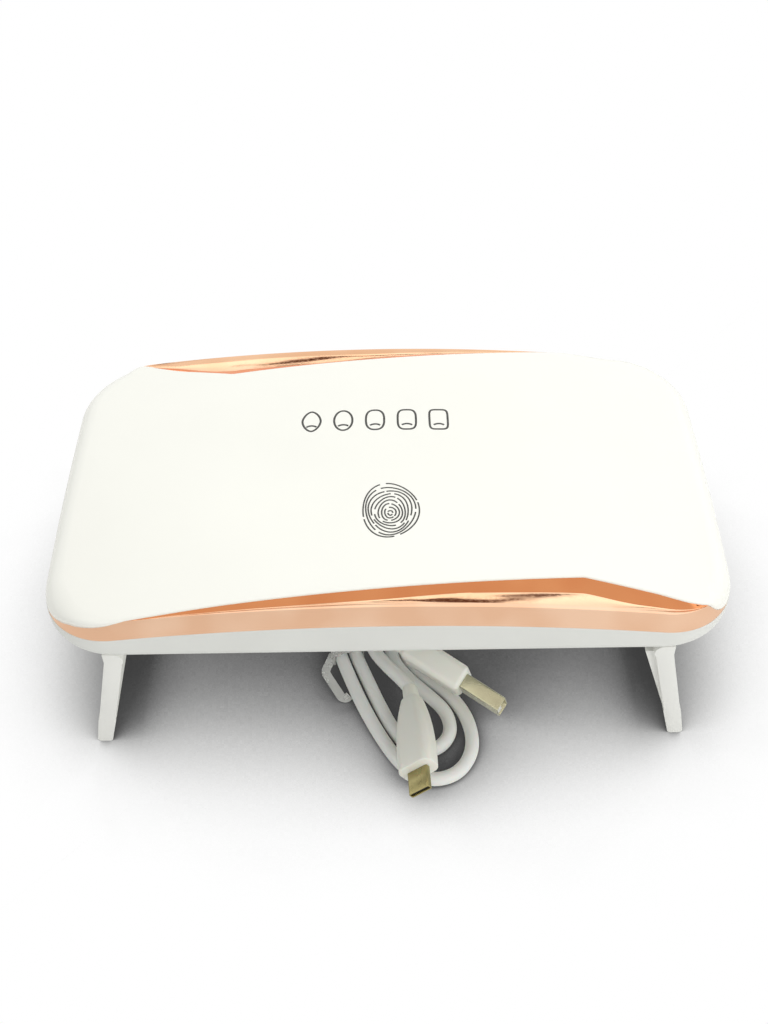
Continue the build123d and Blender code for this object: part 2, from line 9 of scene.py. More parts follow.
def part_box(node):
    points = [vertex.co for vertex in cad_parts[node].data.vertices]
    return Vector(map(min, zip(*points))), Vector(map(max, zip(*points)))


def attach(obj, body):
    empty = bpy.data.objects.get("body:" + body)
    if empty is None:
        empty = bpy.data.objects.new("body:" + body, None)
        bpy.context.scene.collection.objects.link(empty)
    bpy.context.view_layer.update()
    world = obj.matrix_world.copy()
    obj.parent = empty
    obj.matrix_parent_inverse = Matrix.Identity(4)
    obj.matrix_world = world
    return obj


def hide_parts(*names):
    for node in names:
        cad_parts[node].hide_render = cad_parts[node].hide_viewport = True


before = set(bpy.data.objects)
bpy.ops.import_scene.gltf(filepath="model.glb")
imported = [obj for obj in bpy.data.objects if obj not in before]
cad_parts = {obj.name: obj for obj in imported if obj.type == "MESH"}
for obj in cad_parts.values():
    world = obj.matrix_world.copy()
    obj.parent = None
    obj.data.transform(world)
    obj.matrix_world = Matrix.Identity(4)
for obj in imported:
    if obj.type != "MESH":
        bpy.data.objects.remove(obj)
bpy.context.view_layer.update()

# ---- Camera, table and light ------------------------------------------------------------------
# A camera above and in front of the lamp, looking down at it, on a pale table top. The camera sees a
# painted shadow on the table round the lamp. Two soft boxes, one high behind and one at the front
# right, and an even pale room light it.


def linear(colour):
    """sRGB hex to linear light: c / 12.92 up to 0.04045, above it ((c + 0.055) / 1.055) ** 2.4."""
    channels = np.array([int(colour[i:i + 2], 16) for i in (1, 3, 5)]) / 255
    light = np.where(channels <= 0.04045, channels / 12.92, ((channels + 0.055) / 1.055) ** 2.4)
    return (*light, 1.0)


def add_node(holder, kind, inputs=None, **settings):
    """Adds one shader node to a material or world: its settings, then a value or a link for each
    socket, which is given by its name or, where several share a name, by its number."""
    made = holder.node_tree.nodes.new("ShaderNode" + kind)
    for name, value in settings.items():
        setattr(made, name, value)
    for name, value in (inputs or {}).items():
        if isinstance(value, bpy.types.NodeSocket):
            holder.node_tree.links.new(value, made.inputs[name])
        else:
            made.inputs[name].default_value = value
    return made


def empty_material(name):
    """A material with nothing in it yet."""
    material = bpy.data.materials.new(name)
    material.use_nodes = True
    material.node_tree.nodes.clear()
    return material


scene = bpy.context.scene
scene.view_settings.view_transform = "Standard"

CAMERA_PLACE = Vector((-0.0002, -0.261, 0.3208))
CAMERA_DOWN = math.radians(46.98)
CAMERA_YAW = 0.0022
CAMERA_ROLL = -0.0168
CAMERA_LENS = 44.94

camera_data = bpy.data.cameras.new("camera")
camera_data.sensor_fit = "VERTICAL"
camera_data.sensor_height = 36.0
camera_data.lens = CAMERA_LENS
camera_data.clip_start = 0.01
camera = bpy.data.objects.new("camera", camera_data)
scene.collection.objects.link(camera)
turn = Matrix.Rotation(CAMERA_YAW, 4, "Z") @ Matrix.Rotation(math.pi / 2 - CAMERA_DOWN, 4, "X")
camera.matrix_world = Matrix.Translation(CAMERA_PLACE) @ turn @ Matrix.Rotation(CAMERA_ROLL, 4, "Z")
scene.camera = camera

TABLE_HALF = 6.0
table_mesh = bpy.data.meshes.new("table_top")
corners = [(-1, -1), (1, -1), (1, 1), (-1, 1)]
table_mesh.from_pydata([(x * TABLE_HALF, y * TABLE_HALF, 0) for x, y in corners], [], [(0, 1, 2, 3)])
table = bpy.data.objects.new("table_top", table_mesh)
scene.collection.objects.link(table)

paper = empty_material("white paper sweep")
paper_grain = add_node(paper, "TexNoise", {"Scale": 900.0, "Detail": 2.0})
paper_bump = add_node(paper, "Bump", {"Height": paper_grain.outputs["Fac"], "Strength": 0.05,
                                      "Distance": 0.0002})
# Painted shadow: as the camera sees it, the table is a ramp from dark grey to white, driven by how much the
# lamp hides it within this reach. It is a shadow painted round and under the lamp; other rays see a plain
# pale diffuse table.
SHADOW_REACH = 0.075
painted_shadow_ao = add_node(paper, "AmbientOcclusion", {"Distance": SHADOW_REACH}, samples=16)
painted_shadow_tone = add_node(paper, "ValToRGB", {"Fac": painted_shadow_ao.outputs["AO"]})
PAINTED_SHADOW_TONES = [(0.26, "#3E3E3E"), (0.46, "#858585"), (0.66, "#CDCDCC"), (0.86, "#FFFFFF")]
paper_lit = add_node(paper, "BsdfDiffuse", {"Color": linear("#F4F4F2"),
                                            "Normal": paper_bump.outputs["Normal"]})
paper_seen_with_painted_shadow = add_node(paper, "Emission", {"Color": painted_shadow_tone.outputs["Color"], "Strength": 1.0})
paper_ray = add_node(paper, "LightPath")
paper_mix = add_node(paper, "MixShader", {"Fac": paper_ray.outputs["Is Camera Ray"],
                                          1: paper_lit.outputs[0], 2: paper_seen_with_painted_shadow.outputs[0]})
add_node(paper, "OutputMaterial", {"Surface": paper_mix.outputs[0]})
table.data.materials.append(paper)

world = bpy.data.worlds.new("room")
scene.world = world
world.use_nodes = True
world.node_tree.nodes.clear()
room_place = add_node(world, "TexCoord").outputs["Generated"]
room_axes = add_node(world, "SeparateXYZ", {"Vector": room_place})
room_ramp = add_node(world, "ValToRGB", {"Fac": room_axes.outputs["Z"]})

# The room by the sine of the height over the horizon: pale walls, a bright band, a greyer ceiling.
ROOM_BANDS = [(0.0, "#E4E4E4"), (0.63, "#E4E4DF"), (0.68, "#FFFCF2"),
              (0.82, "#FFFCF2"), (0.88, "#D2CDC4"), (1.0, "#CCC6BC")]
for ramp, stops in ((painted_shadow_tone.color_ramp, PAINTED_SHADOW_TONES), (room_ramp.color_ramp, ROOM_BANDS)):
    while len(ramp.elements) < len(stops):
        ramp.elements.new(0.5)
    for element, (place, colour) in zip(ramp.elements, stops):
        element.position = place
        element.color = linear(colour)

# Tall dark furniture round the room, in uneven blocks where that height is between 0.55 and 0.90;
# only the gloss of the lamp mirrors it.
furniture_map = add_node(world, "Mapping", {"Vector": room_place, "Location": (0.45, 0.0, 0.0),
                                            "Scale": (9.0, 1.0, 14.0)})
furniture = add_node(world, "TexNoise", {"Vector": furniture_map.outputs["Vector"], "Scale": 1.0,
                                         "Detail": 1.0})
room_height = room_axes.outputs["Z"]
FURNITURE_RANGES = ((furniture.outputs["Fac"], 0.40, 0.43),
                   (room_height, 0.55, 0.60), (room_height, 0.84, 0.90))
gap_step, foot_step, head_step = (
    add_node(world, "MapRange", {"Value": value, "From Min": low, "From Max": high}).outputs["Result"]
    for value, low, high in FURNITURE_RANGES)
furniture_below = add_node(world, "Math", {0: 1.0, 1: foot_step}, operation="SUBTRACT")
furniture_clear = add_node(world, "Math", {0: furniture_below.outputs[0], 1: head_step}, operation="MAXIMUM")
furniture_fac = add_node(world, "Math", {0: gap_step, 1: furniture_clear.outputs[0]}, operation="MAXIMUM")
MIX_FACTOR, MIX_COLOUR_A, MIX_COLOUR_B, MIX_RESULT = 0, 6, 7, 2
room_tone = add_node(world, "Mix", {MIX_FACTOR: furniture_fac.outputs[0], MIX_COLOUR_A: linear("#4A2A18"),
                                    MIX_COLOUR_B: room_ramp.outputs["Color"]}, data_type="RGBA")
room_rays = add_node(world, "LightPath")
ROOM_LIGHT, ROOM_GLOSS = 0.62, 1.6
room_even = add_node(world, "Background", {"Color": linear("#FFFFFF"), "Strength": ROOM_LIGHT})
room_seen = add_node(world, "Background", {"Color": room_tone.outputs[MIX_RESULT], "Strength": ROOM_GLOSS})
room_white = add_node(world, "Background", {"Color": linear("#FFFFFF"), "Strength": 1.0})
room_mix = add_node(world, "MixShader", {"Fac": room_rays.outputs["Is Glossy Ray"],
                                         1: room_even.outputs[0], 2: room_seen.outputs[0]})
room_front = add_node(world, "MixShader", {"Fac": room_rays.outputs["Is Camera Ray"],
                                           1: room_mix.outputs[0], 2: room_white.outputs[0]})
add_node(world, "OutputWorld", {"Surface": room_front.outputs[0]})

SOFT_BOXES = [("back_soft_box", (0.1, 0.55, 1.05), (1.3, 0.7), 5.6),
              ("front_soft_box", (0.75, -0.8, 0.6), (0.7, 0.7), 4.2)]
LIT_POINT = Vector((0, 0, 0.05))
for name, place, size, watts in SOFT_BOXES:
    light = bpy.data.lights.new(name, "AREA")
    light.shape = "RECTANGLE"
    light.size, light.size_y = size
    light.energy = watts
    lamp = bpy.data.objects.new(name, light)
    lamp.location = place
    lamp.rotation_euler = (LIT_POINT - Vector(place)).to_track_quat("-Z", "Y").to_euler()
    lamp.visible_glossy = False
    scene.collection.objects.link(lamp)

# ---- Base shell -------------------------------------------------------------------------------
# The lower half of the housing: injection-moulded white ABS with a satin skin. It holds the lamp
# tray and shows as the pale band under the metallised trims; four hinge brackets are staked to it.

MM = 0.001
FLOW_PER_METRE = 45.0
PLASTIC_IOR = 1.5


def plastic(name, colour, roughness, grain_mm, grain_depth_mm, mottle=0.04, subsurface=0.0):
    """Injection-moulded plastic: an even colour with a faint flow mottle, about 22 mm a patch, and the
    texture of the mould's skin, which gives a soft broad highlight. That texture is too fine to show
    at its real size, about 0.1 mm, so it is drawn as coarse as grain_mm says."""
    made = empty_material(name)
    place = add_node(made, "TexCoord").outputs["Object"]
    flow = add_node(made, "TexNoise", {"Vector": place, "Scale": FLOW_PER_METRE, "Detail": 3.0})
    grain = add_node(made, "TexNoise", {"Vector": place, "Scale": 1.0 / (grain_mm * MM), "Detail": 2.0})
    base = np.array(linear(colour))
    tint = add_node(made, "ValToRGB", {"Fac": flow.outputs["Fac"]})
    tint.color_ramp.elements[0].position = 0.3
    tint.color_ramp.elements[1].position = 0.7
    tint.color_ramp.elements[0].color = (*(base[:3] * (1 - mottle)), 1)
    tint.color_ramp.elements[1].color = (*base[:3], 1)
    polish = add_node(made, "MapRange", {"Value": flow.outputs["Fac"], "To Min": roughness * 0.85,
                                         "To Max": roughness * 1.2})
    bump = add_node(made, "Bump", {"Height": grain.outputs["Fac"], "Strength": 0.4,
                                   "Distance": grain_depth_mm * MM})
    skin = add_node(made, "BsdfPrincipled", {"Base Color": tint.outputs["Color"], "IOR": PLASTIC_IOR,
                                             "Roughness": polish.outputs["Result"],
                                             "Normal": bump.outputs["Normal"]})
    if subsurface:
        skin.inputs["Subsurface Weight"].default_value = subsurface
        skin.inputs["Subsurface Scale"].default_value = 2 * MM
    add_node(made, "OutputMaterial", {"Surface": skin.outputs[0]})
    return made


def repaint(node, material):
    """Gives a carried-over CAD node its material."""
    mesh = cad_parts[node].data
    mesh.materials.clear()
    mesh.materials.append(material)


satin_abs = plastic("satin white ABS", "#E3E4DF", 0.36, 0.9, 0.02)
for node in ("base_shell", "hinge_brackets"):
    repaint(node, satin_abs)

# ---- Legs and hinge pins ----------------------------------------------------------------------
# Two equal U-shaped legs moulded in white ABS, each turned half a turn from the other. Their arms
# swing on steel pins in the base's brackets, and every outer edge has a small moulded radius.

WELD, SLIVER = 1e-6, 1e-7
FLAT, ROUNDED_FROM = math.radians(1), math.radians(30)


def finished(name, material, body, *stands_for, slot=None):
    """Puts a mesh that is already in place into the scene, on a body, for the CAD nodes it replaces."""
    piece = bpy.data.objects[name]
    piece.data.materials.append(material)
    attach(piece, body)
    if stands_for:
        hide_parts(*stands_for)
    return piece


def edge_rounded_copy(name, node, radius_mm, segments=3):
    """A copy of a CAD solid with its loose triangles joined, flat faces made whole, and each edge
    sharper than 30 degrees rounded off to the given radius."""
    work = bmesh.new()
    work.from_mesh(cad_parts[node].data)
    bmesh.ops.remove_doubles(work, verts=work.verts, dist=WELD)
    bmesh.ops.dissolve_limit(work, angle_limit=FLAT, verts=work.verts, edges=work.edges)
    mesh = bpy.data.meshes.new(name)
    work.to_mesh(mesh)
    work.free()
    mesh.shade_smooth()
    piece = bpy.data.objects.new(name, mesh)
    scene.collection.objects.link(piece)
    rounding = piece.modifiers.new("edge radius", "BEVEL")
    rounding.width = radius_mm * MM
    rounding.segments = segments
    rounding.limit_method = "ANGLE"
    rounding.angle_limit = ROUNDED_FROM
    rounding.harden_normals = True
    return piece


leg_abs = plastic("white leg ABS", "#EFEFEA", 0.30, 0.8, 0.015)
for side in ("left", "right"):
    edge_rounded_copy(f"{side}_leg_moulding", f"{side}_leg", 0.7)
    finished(f"{side}_leg_moulding", leg_abs, f"{side}_leg", f"{side}_leg", slot="leg_plastic")


def metal(name, colour, roughness, streak=(1.0, 1.0, 1.0), wear_mm=1.0, shade=0.12):
    """Bare or plated metal: its roughness and tone vary in a fine pattern, which streak draws out
    along the way the metal was drawn, rolled or turned. Real wear marks are finer than wear_mm, which
    is as coarse as they need to be to show."""
    made = empty_material(name)
    place = add_node(made, "TexCoord").outputs["Object"]
    drawn = add_node(made, "Mapping", {"Vector": place, "Scale": streak})
    wear = add_node(made, "TexNoise", {"Vector": drawn.outputs["Vector"], "Scale": 1.0 / (wear_mm * MM),
                                       "Detail": 4.0})
    base = np.array(linear(colour))
    tint = add_node(made, "ValToRGB", {"Fac": wear.outputs["Fac"]})
    tint.color_ramp.elements[0].color = (*(base[:3] * (1 - shade)), 1)
    tint.color_ramp.elements[1].color = (*base[:3], 1)
    polish = add_node(made, "MapRange", {"Value": wear.outputs["Fac"], "To Min": roughness * 0.7,
                                         "To Max": roughness * 1.4})
    bump = add_node(made, "Bump", {"Height": wear.outputs["Fac"], "Strength": 0.15, "Distance": 0.00003})
    face = add_node(made, "BsdfPrincipled", {"Base Color": tint.outputs["Color"], "Metallic": 1.0,
                                             "Roughness": polish.outputs["Result"],
                                             "Normal": bump.outputs["Normal"]})
    add_node(made, "OutputMaterial", {"Surface": face.outputs[0]})
    return made


drawn_steel = metal("drawn steel wire", "#9C9CA0", 0.30, (6.0, 0.4, 6.0), 0.8)
for side in ("left", "right"):
    repaint(f"{side}_hinge_pins", drawn_steel)

# ---- Top cover --------------------------------------------------------------------------------
# One glossy warm-white ABS moulding, crowned both ways. Its ends roll softly down to the base, and
# its front and rear edges stop short, in a crisp line, where the metallised trims begin.

HALF_W, HALF_D = np.array(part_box("base_shell")[1])[:2] / MM
CORNER_R = 21.0
SIDE_BOW = 0.8
TOP_Z = 63.2
TOP_RISE_X = 8.2
TOP_SAG_REACH = 60.0
TOP_SAG_EDGE = 2.2
TOP_SAG = TOP_SAG_EDGE * (TOP_SAG_REACH / HALF_D) ** 2
SPLIT_MID, SPLIT_END = 55.0, 47.5
RIDGE_MID, RIDGE_END = 60.7, 52.5
RIDGE_INSET = 1.9
FRONT_LINE_X = (-95.0, -91.0, -88.2, -86.5, -83.6, -79.3, -74.0,
                -66.0, -44.3, 52.4, 84.6, 88.5, 91.0, 95.0)
FRONT_LINE_Y = (-44.9, -44.9, -46.6, -48.2, -50.3, -51.9, -52.5,
                -51.8, -49.7, -41.7, -48.6, -46.9, -44.9, -44.9)
REAR_LINE_X = (-95.0, -74.0, -0.5, 47.2, 64.3, 80.5, 95.0)
REAR_LINE_Y = (-56.0, -54.2, -47.0, -42.5, -46.4, -53.0, -58.0)
FRONT_PEAK_X, REAR_PEAK_X = 52.4, 47.2
TRIM_BAND_Y = -40.0
INSET_PASSES = 12
LONG_STEPS, CORNER_STEPS, SHORT_STEPS = 150, 26, 44
SHARP_EDGE = math.radians(24)


def arch(z_mid, z_end, x):
    """Height of the circular arc over the housing's length: z_mid - R + sqrt(R^2 - x^2)."""
    rise = z_mid - z_end
    radius = (HALF_W ** 2 + rise ** 2) / (2 * rise)
    return z_mid - radius + np.sqrt(radius ** 2 - x ** 2)


def crown(x, y):
    """Height of the top: an arc across the depth, carried round an axis along Y by a second arc."""
    across = (TOP_SAG_REACH ** 2 + TOP_SAG ** 2) / (2 * TOP_SAG)
    along = (HALF_W ** 2 + TOP_RISE_X ** 2) / (2 * TOP_RISE_X)
    centre = TOP_Z - along
    reach = TOP_Z - across + np.sqrt(across ** 2 - y ** 2) - centre
    return centre + np.sqrt(reach ** 2 - x ** 2)


def plan_ring():
    """The housing's plan, once round from the front left: straight front and back, quarter circles
    at the corners, and ends bowed by SIDE_BOW * (1 - (y / half depth)^2)."""
    flat_x, flat_y = HALF_W - CORNER_R, HALF_D - CORNER_R
    along = np.linspace(-flat_x, flat_x, LONG_STEPS, endpoint=False)
    along[np.argmin(abs(along - FRONT_PEAK_X))] = FRONT_PEAK_X
    along[np.argmin(abs(along - REAR_PEAK_X))] = REAR_PEAK_X
    up = np.linspace(-flat_y, flat_y, SHORT_STEPS, endpoint=False)
    quarter = np.linspace(0, math.pi / 2, CORNER_STEPS, endpoint=False)
    front = np.column_stack([along, np.full_like(along, -HALF_D)])
    corner = np.column_stack([flat_x + CORNER_R * np.sin(quarter), -flat_y - CORNER_R * np.cos(quarter)])
    right = np.column_stack([np.full_like(up, HALF_W), up])
    corner_back = np.column_stack([flat_x + CORNER_R * np.cos(quarter), flat_y + CORNER_R * np.sin(quarter)])
    half = np.vstack([front, corner, right, corner_back])
    ring = np.vstack([half, -half])
    ring[:, 0] *= 1 - SIDE_BOW / HALF_W * (ring[:, 1] / HALF_D) ** 2
    return ring


def outward(ring):
    """Unit normals of a closed plan curve that runs anticlockwise: the tangent turned by -90 degrees."""
    tangent = np.roll(ring, -1, axis=0) - np.roll(ring, 1, axis=0)
    normal = np.column_stack([tangent[:, 1], -tangent[:, 0]])
    return normal / np.linalg.norm(normal, axis=1, keepdims=True)


def ease(t):
    """Smooth step: 3 t^2 - 2 t^3 on 0 to 1."""
    t = np.clip(t, 0, 1)
    return t * t * (3 - 2 * t)


def panel_inset(ring, normal):
    """How far each point of the plan lies outside the panel edge, along its own normal. The distance d
    solves y - d * ny = line(x - d * nx) by repeated substitution, with the rear edge taken in its own
    half turn; 0 where there is no trim."""
    turned = np.where(ring[:, 1:] < 0, 1.0, -1.0)
    place, way = ring * turned, normal * turned
    front = place[:, 1] < TRIM_BAND_Y
    slope = np.where(front, -way[:, 1], 1.0)
    inset = np.zeros(len(ring))
    for _ in range(INSET_PASSES):
        x = place[:, 0] - inset * way[:, 0]
        front_line = np.interp(x, FRONT_LINE_X, FRONT_LINE_Y)
        rear_line = np.interp(x, REAR_LINE_X, REAR_LINE_Y)
        line = np.where(ring[:, 1] < 0, front_line, rear_line)
        inset = np.where(front, np.clip((line - place[:, 1]) / slope, 0, None), 0)
    return inset


def grid_mesh(name, rows, pole=False, second=()):
    """A mesh through rows of points, (row, column, xyz) in millimetres, whose columns close into a
    ring; the last row is gathered into one pole vertex if asked. Faces that start at a column named
    in second take the second material. Points that fall together are welded."""
    count_rows, count_cols = rows.shape[:2]
    points = rows.reshape(-1, 3) * MM
    left = np.arange(count_rows * count_cols).reshape(count_rows, count_cols)
    right = np.roll(left, -1, axis=1)
    quads = np.stack([left[:-1], right[:-1], right[1:], left[1:]], axis=-1).reshape(-1, 4).tolist()
    if pole:
        points = np.vstack([points, rows[-1].mean(axis=0) * MM])
        tip = len(points) - 1
        quads += [(a, b, tip) for a, b in zip(left[-1].tolist(), right[-1].tolist())]
    mesh = bpy.data.meshes.new(name)
    mesh.from_pydata(points.tolist(), [], quads)
    slots = np.isin(np.arange(len(quads)) % count_cols, second)
    mesh.polygons.foreach_set("material_index", slots.astype(np.int32))
    weld = bmesh.new()
    weld.from_mesh(mesh)
    bmesh.ops.remove_doubles(weld, verts=weld.verts, dist=WELD)
    bmesh.ops.dissolve_degenerate(weld, edges=weld.edges, dist=SLIVER)
    weld.to_mesh(mesh)
    weld.free()
    mesh.shade_smooth()
    mesh.set_sharp_from_angle(angle=SHARP_EDGE)
    piece = bpy.data.objects.new(name, mesh)
    scene.collection.objects.link(piece)
    return piece


def shell_wall(piece, thickness_mm):
    """Gives a surface its wall, inwards from its outer face."""
    wall = piece.modifiers.new("wall", "SOLIDIFY")
    wall.thickness = thickness_mm * MM
    wall.offset = -1.0


plan = plan_ring()
plan_out = outward(plan)
inset = panel_inset(plan, plan_out)

# Round the corners the panel edge runs soft: there each distance is the mean of the nine round it.
# Between the corners its peaks stay crisp.
SOFT_CORNER_X = 62.0
SOFT_REACH = 4
SOFT_COUNT = 2 * SOFT_REACH + 1
spread = sum(np.roll(inset, shift) for shift in range(-SOFT_REACH, SOFT_REACH + 1)) / SOFT_COUNT
inset = np.where(abs(plan[:, 0]) > SOFT_CORNER_X, spread, inset)
panel_ring = plan - plan_out * inset[:, None]
panel_out = outward(panel_ring)
split_z = arch(SPLIT_MID, SPLIT_END, plan[:, 0])
facet_share = np.clip(inset / RIDGE_INSET, 0, 1)
facet_z = split_z + (arch(RIDGE_MID, RIDGE_END, panel_ring[:, 0]) - split_z) * facet_share

# The cover's edge: over a trim it is a small roll of 0.5 mm; where there is none it grows to 6.5 mm.
END_ROLL_WIDTH, TRIMMED_ROLL = 6.5, 0.5
FREE_END_REACH = 2.4
SKIRT_DEPTH, SKIRT_TUCK = 1.9, 0.3
ROLL_STEPS, TOP_RINGS, RING_POWER = 14, 34, 0.8
free_end = 1 - ease(inset / FREE_END_REACH)
roll_width = TRIMMED_ROLL + (END_ROLL_WIDTH - TRIMMED_ROLL) * free_end
edge_z = crown(*panel_ring.T)
skirt_z = np.where(inset < RIDGE_INSET, facet_z - SKIRT_TUCK * facet_share, edge_z - SKIRT_DEPTH)
roll_drop = TRIMMED_ROLL + (edge_z - skirt_z - SKIRT_TUCK - TRIMMED_ROLL) * free_end
cover_rows = [np.column_stack([panel_ring, skirt_z])]
for roll in np.linspace(0, math.pi / 2, ROLL_STEPS):
    ring = panel_ring - panel_out * (roll_width * (1 - math.cos(roll)))[:, None]
    cover_rows.append(np.column_stack([ring, crown(*ring.T) - roll_drop * (1 - math.sin(roll))]))
rolled = cover_rows[-1][:, :2]
for shrink in np.linspace(1, 0, TOP_RINGS)[1:-1] ** RING_POWER:
    cover_rows.append(np.column_stack([rolled * shrink, crown(*(rolled * shrink).T)]))
COVER_WALL = 1.8
shell_wall(grid_mesh("cover_moulding", np.array(cover_rows), pole=True), COVER_WALL)
gloss_abs = plastic("gloss warm white ABS", "#FAFAF2", 0.24, 1.4, 0.004, mottle=0.012)
finished("cover_moulding", gloss_abs, "housing", "top_cover", slot="cover_plastic")

# ---- Printed marks ----------------------------------------------------------------------------
# Screen-printed grey ink on the cover: a whorl of broken rings over the touch pad, and a row of
# five plain nail shapes behind it. Neither carries any wording.

TOUCH_X, TOUCH_Y = 1.0, -19.5
WHORL_HALF_W, WHORL_HALF_H = 7.8, 9.8
WHORL_RINGS = 9
WHORL_WAVE, WHORL_DRIFT = 0.035, 1.3
WHORL_TURN, WHORL_GAP, GAP_VARIES = 2.4, 0.20, 0.10
ARC_STEPS = 28
NAIL_ROW_X, NAIL_ROW_Y = -3.0, 17.0
NAIL_PITCH = 9.4
NAIL_HALF_W, NAIL_HALF_H = 2.7, 4.3
CUTICLE_HALF_W, CUTICLE_RISE, CUTICLE_Y, CUTICLE_TURN = 1.9, 1.5, -3.4, 0.9
INK_PROUD, INK_DEPTH = 0.03, 0.06
WHORL_LINE, NAIL_LINE = 0.42, 0.62
NAIL_POWERS = (1.7, 2.0, 2.6, 3.4, 5.0)


def ink_marks(name, lines, width_mm):
    """Strips of ink along plan curves: each point moves half the width to either side along the
    curve's normal, and lies on the crown, a little proud of it."""
    points, faces, start = [], [], 0
    for line in lines:
        way = np.gradient(line, axis=0)
        way /= np.linalg.norm(way, axis=1, keepdims=True)
        side = np.column_stack([-way[:, 1], way[:, 0]]) * width_mm / 2
        both = np.vstack([line + side, line - side])
        points.append(np.column_stack([both, crown(*both.T) + INK_PROUD]))
        left = start + np.arange(len(line))
        right = left + len(line)
        faces.append(np.column_stack([right[:-1], right[1:], left[1:], left[:-1]]))
        start += 2 * len(line)
    mesh = bpy.data.meshes.new(name)
    mesh.from_pydata((np.vstack(points) * MM).tolist(), [], np.vstack(faces).tolist())
    mesh.shade_smooth()
    piece = bpy.data.objects.new(name, mesh)
    scene.collection.objects.link(piece)
    return piece


def whorl_lines():
    """Broken ellipses one inside the next, whose centres drift backwards and whose radius waves as
    1 + 0.035 sin(3 t + k); ring k is cut into 2 to 4 arcs, turned 2.4 radians from the last."""
    lines = []
    for k in range(WHORL_RINGS):
        size = (k + 0.75) / (WHORL_RINGS - 0.25)
        arcs = 2 + k // 4
        for part in range(arcs):
            gap = WHORL_GAP + GAP_VARIES * math.sin(5.0 * k + 3.0 * part)
            start = WHORL_TURN * k + 2 * math.pi * part / arcs
            t = np.linspace(start, start + 2 * math.pi / arcs - gap / (0.3 + size), ARC_STEPS)
            wave = size * (1 + WHORL_WAVE * np.sin(3 * t + k))
            drift = WHORL_DRIFT * (1 - size)
            lines.append(np.column_stack([TOUCH_X + WHORL_HALF_W * wave * np.cos(t),
                                          TOUCH_Y - drift + WHORL_HALF_H * wave * np.sin(t)]))
    return lines


def nail_lines():
    """Closed superellipses |x/a|^p + |y/b|^p = 1 in a row, each with its own p, and a cuticle arc."""
    lines = []
    for k, power in enumerate(NAIL_POWERS):
        t = np.linspace(0, 2 * math.pi, 60)
        centre_x = NAIL_ROW_X + (k - 2) * NAIL_PITCH
        x = np.sign(np.cos(t)) * abs(np.cos(t)) ** (2 / power) * NAIL_HALF_W
        y = np.sign(np.sin(t)) * abs(np.sin(t)) ** (2 / power) * NAIL_HALF_H
        lines.append(np.column_stack([centre_x + x, NAIL_ROW_Y + y]))
        arc = np.linspace(-CUTICLE_TURN, CUTICLE_TURN, 12)
        lines.append(np.column_stack([centre_x + CUTICLE_HALF_W * np.sin(arc),
                                      NAIL_ROW_Y + CUTICLE_Y + CUTICLE_RISE * np.cos(arc)]))
    return lines


ink = plastic("screen-printed grey ink", "#4C4C4A", 0.5, 0.5, 0.002, mottle=0.35)
PRINTED = (("touch_mark", whorl_lines(), WHORL_LINE), ("nail_marks", nail_lines(), NAIL_LINE))
for name, lines, width in PRINTED:
    shell_wall(ink_marks(name, lines, width), INK_DEPTH)
    finished(name, ink, "housing", slot="black_plastic")

# ---- Front and rear trims ---------------------------------------------------------------------
# ABS strips, vacuum-metallised in rose gold and lacquered. From the panel edge a narrow wall drops to
# a shallow shelf, which runs out to a crisp ridge; below the ridge a leaning facet meets the base.
# The wall's film is given a deeper colour: a painted reflection that stands for the wall mirroring the
# shelf.

CREASE_X = (-60.0, -40.0, -2.0, 19.0, 50.9, 55.6, 66.1, 79.0)
CREASE_Y = (-52.0, -51.3, -49.1, -46.9, -45.9, -46.6, -49.6, -51.5)
CREASE_LEAST, CREASE_MOST = 0.42, 0.72
LIP_WIDTH, LIP_SHARE = 1.6, 0.3
LIP_SLOPE, SHELF_SLOPE = 0.32, 0.03
EDGE_STEP = 0.4
TUCK_IN, TUCK_DOWN, HEEL_IN = 0.6, 1.1, 1.5
FOOT_PROUD = 0.04
SHELF_EASE, LEAST_SHELF = 2.0, 0.5
WALL_SAG, SHELF_SAG, LIP_SAG, FACET_SAG = 0.03, 0.05, -0.03, -0.05
END_BAND_Y = -35.0
WAVES_PER_METRE, SPECKS_PER_METRE = 70.0, 1200.0


def rose_gold(name, dark, light):
    """Vacuum-metallised ABS under clear lacquer: a mirror of pinkish gold whose faint waves come
    from the moulding below the film, about 14 mm apart. Dust specks in the lacquer vary its gloss;
    they are drawn nearly 1 mm wide, coarser than real ones, so that they show."""
    made = empty_material(name)
    place = add_node(made, "TexCoord").outputs["Object"]
    wave = add_node(made, "TexNoise", {"Vector": place, "Scale": WAVES_PER_METRE, "Detail": 1.0})
    speck = add_node(made, "TexNoise", {"Vector": place, "Scale": SPECKS_PER_METRE, "Detail": 1.0})
    tint = add_node(made, "ValToRGB", {"Fac": wave.outputs["Fac"]})
    tint.color_ramp.elements[0].position = 0.35
    tint.color_ramp.elements[1].position = 0.65
    tint.color_ramp.elements[0].color = linear(dark)
    tint.color_ramp.elements[1].color = linear(light)
    polish = add_node(made, "MapRange", {"Value": speck.outputs["Fac"], "From Min": 0.4, "From Max": 0.8,
                                         "To Min": 0.07, "To Max": 0.13})
    bump = add_node(made, "Bump", {"Height": wave.outputs["Fac"], "Strength": 0.35, "Distance": 0.0003})
    film = add_node(made, "BsdfPrincipled", {"Base Color": tint.outputs["Color"], "Metallic": 1.0,
                                             "Roughness": polish.outputs["Result"],
                                             "Normal": bump.outputs["Normal"]})
    add_node(made, "OutputMaterial", {"Surface": film.outputs[0]})
    return made


def lay_between(start, end, shares, sag_mm):
    """Rows from one line of points to another at the given shares of the way, each dipped by
    4 * sag * s * (1 - s)."""
    rows = []
    for share in shares:
        row = start + (end - start) * share
        row[:, 2] -= 4 * sag_mm * share * (1 - share)
        rows.append(row)
    return rows


